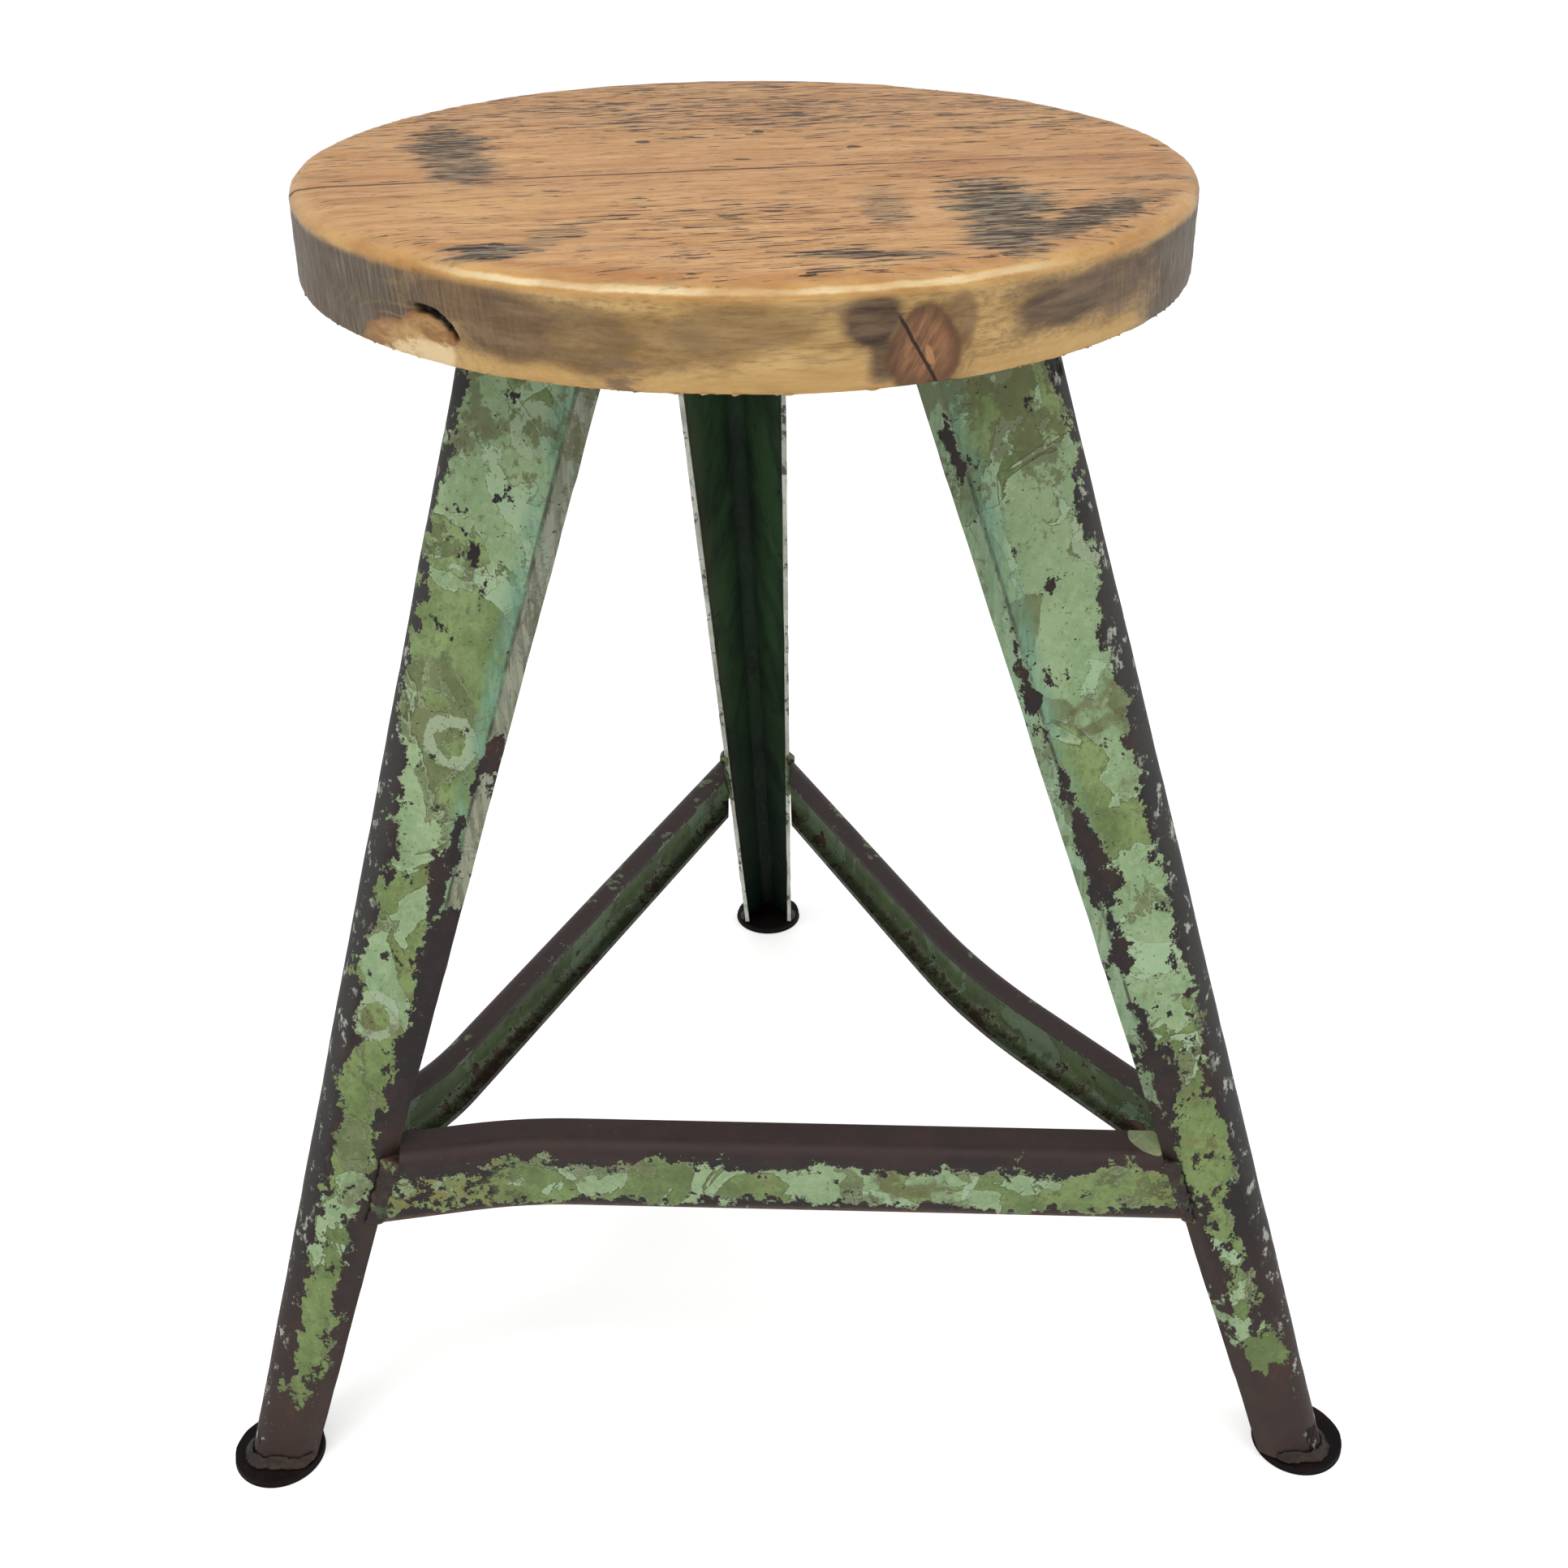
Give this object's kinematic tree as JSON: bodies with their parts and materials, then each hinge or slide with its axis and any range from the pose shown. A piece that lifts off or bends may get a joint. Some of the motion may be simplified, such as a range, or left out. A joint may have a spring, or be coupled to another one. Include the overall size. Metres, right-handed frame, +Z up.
{
  "type": "tripod stool",
  "caption": "Round wooden seat on splayed folded-steel legs, tied low down by bent channel stretchers, standing on round foot discs.",
  "frame": {"origin": "on the floor, under the middle of the stool's box", "axes": "+Z up; -Y towards the viewer of the picture, with two legs in front and one behind; +X to the viewer's right"},
  "size_m": [0.504, 0.4678, 0.5435],
  "materials": {
    "pine": "old reclaimed pine, sanded and oiled, satin",
    "leg_paint": "chipped green paint over brown bare steel",
    "stretcher_paint": "chipped green paint, upper flange worn to brown steel",
    "plate_paint": "dark green paint, dull",
    "foot_steel": "black-brown worn steel",
    "weld_metal": "lumpy bead, painted over and worn",
    "screw_steel": "dull zinc"
  },
  "bodies": {
    "root": {"foot_back": "foot_steel", "foot_left": "foot_steel", "foot_right": "foot_steel", "leg_back": "leg_paint", "leg_left": "leg_paint", "leg_right": "leg_paint", "seat_board_back": "pine", "seat_board_front": "pine", "seat_screws": "screw_steel", "seat_washers": "screw_steel", "stretcher_front": "stretcher_paint", "stretcher_left": "stretcher_paint", "stretcher_right": "stretcher_paint", "top_plate": "plate_paint", "weld_foot_back": "weld_metal", "weld_foot_left": "weld_metal", "weld_foot_right": "weld_metal", "weld_front_stretcher_left": "weld_metal", "weld_front_stretcher_right": "weld_metal", "weld_left_stretcher_back": "weld_metal", "weld_left_stretcher_left": "weld_metal", "weld_right_stretcher_back": "weld_metal", "weld_right_stretcher_right": "weld_metal", "weld_top_back": "weld_metal", "weld_top_left": "weld_metal", "weld_top_right": "weld_metal"}
  },
  "joints": []
}
